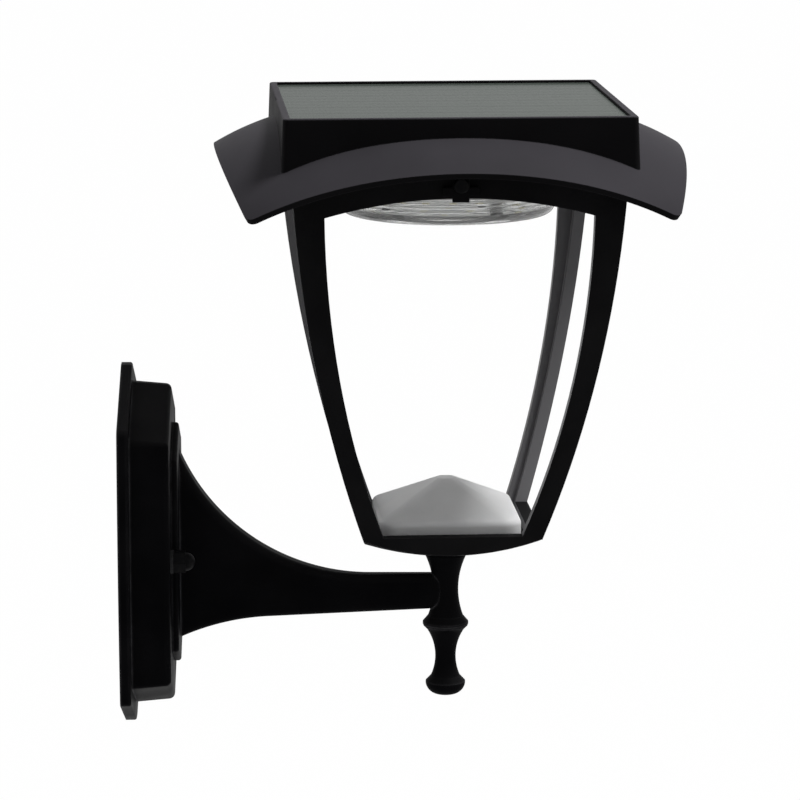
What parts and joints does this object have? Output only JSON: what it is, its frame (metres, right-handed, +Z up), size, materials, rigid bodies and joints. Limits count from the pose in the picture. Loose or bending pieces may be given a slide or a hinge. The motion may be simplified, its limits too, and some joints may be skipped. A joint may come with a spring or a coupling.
{
  "type": "solar wall light",
  "caption": "Solar wall light: open tapered lantern cage under a domed roof with a square panel box, on a curved arm with a turned stem and a tall blunt-ended hexagonal wall plate.",
  "frame": {"origin": "middle of the wall plate's back, on the wall's face", "axes": "+Z up, +X out of the wall to the lantern, the picture looks along +Y"},
  "size_m": [0.2764, 0.2298, 0.3139],
  "materials": {
    "cast_black": "satin black powder coat",
    "roof_plastic": "satin, fine grain",
    "panel_glass": "smooth tempered glass",
    "solar_cell": "dark silicon",
    "board_green": "solder mask",
    "seal_rubber": "matt",
    "opal": "opal, softly translucent",
    "lens_clear": "clear, ringed",
    "pan_plastic": "moulded black",
    "chip": "moulded",
    "led": "phosphor",
    "button_dark": "moulded black",
    "steel": "zinc plated",
    "nut_black": "black plated",
    "cell_wrap": "film wrap on a steel can",
    "holder_plastic": "moulded black",
    "connector_white": "moulded white",
    "wire_red": "wire insulation",
    "wire_black": "wire insulation"
  },
  "bodies": {
    "wall_side": {"wall_plate": "cast_black", "wall_gasket": "seal_rubber", "wall_bracket": "steel", "bracket_studs": "steel", "stud_washers": "seal_rubber", "cap_nuts": "nut_black", "arm": "cast_black", "arm_screws": "steel", "finial": "cast_black", "tie_rod": "steel", "tie_washer": "steel", "tie_nut": "steel"},
    "lantern_head": {"cage": "cast_black", "reflector_pyramid": "opal", "roof_shell": "roof_plastic", "lug_screws": "nut_black", "panel_glass": "panel_glass", "panel_seal": "seal_rubber", "solar_cells": "solar_cell", "panel_board": "board_green", "lamp_pan": "pan_plastic", "pan_screws": "steel", "led_board": "connector_white", "led_chips": "led", "led_screws": "steel", "lens": "lens_clear", "lens_screws": "steel", "button_switch": "chip", "battery_holder": "holder_plastic", "battery_cell": "cell_wrap", "battery_contacts": "steel", "control_board": "board_green", "board_screws": "steel", "control_parts": "chip", "connectors": "connector_white", "panel_lead": "wire_red", "lamp_lead": "wire_black", "battery_lead": "wire_red"},
    "button": {"mode_button": "button_dark"}
  },
  "joints": [
    {"name": "head_swivel", "type": "hinge", "parent": "wall_side", "child": "lantern_head", "pos_m": [0.1615, 0, 0], "axis": [0, 0, 1], "continuous": true},
    {"name": "button_press", "type": "slide", "parent": "lantern_head", "child": "button", "axis": [0, 0, 1], "range_m": [0, 0.0012], "stiffness_N_per_m": 1200, "springref_m": -0.0005}
  ]
}
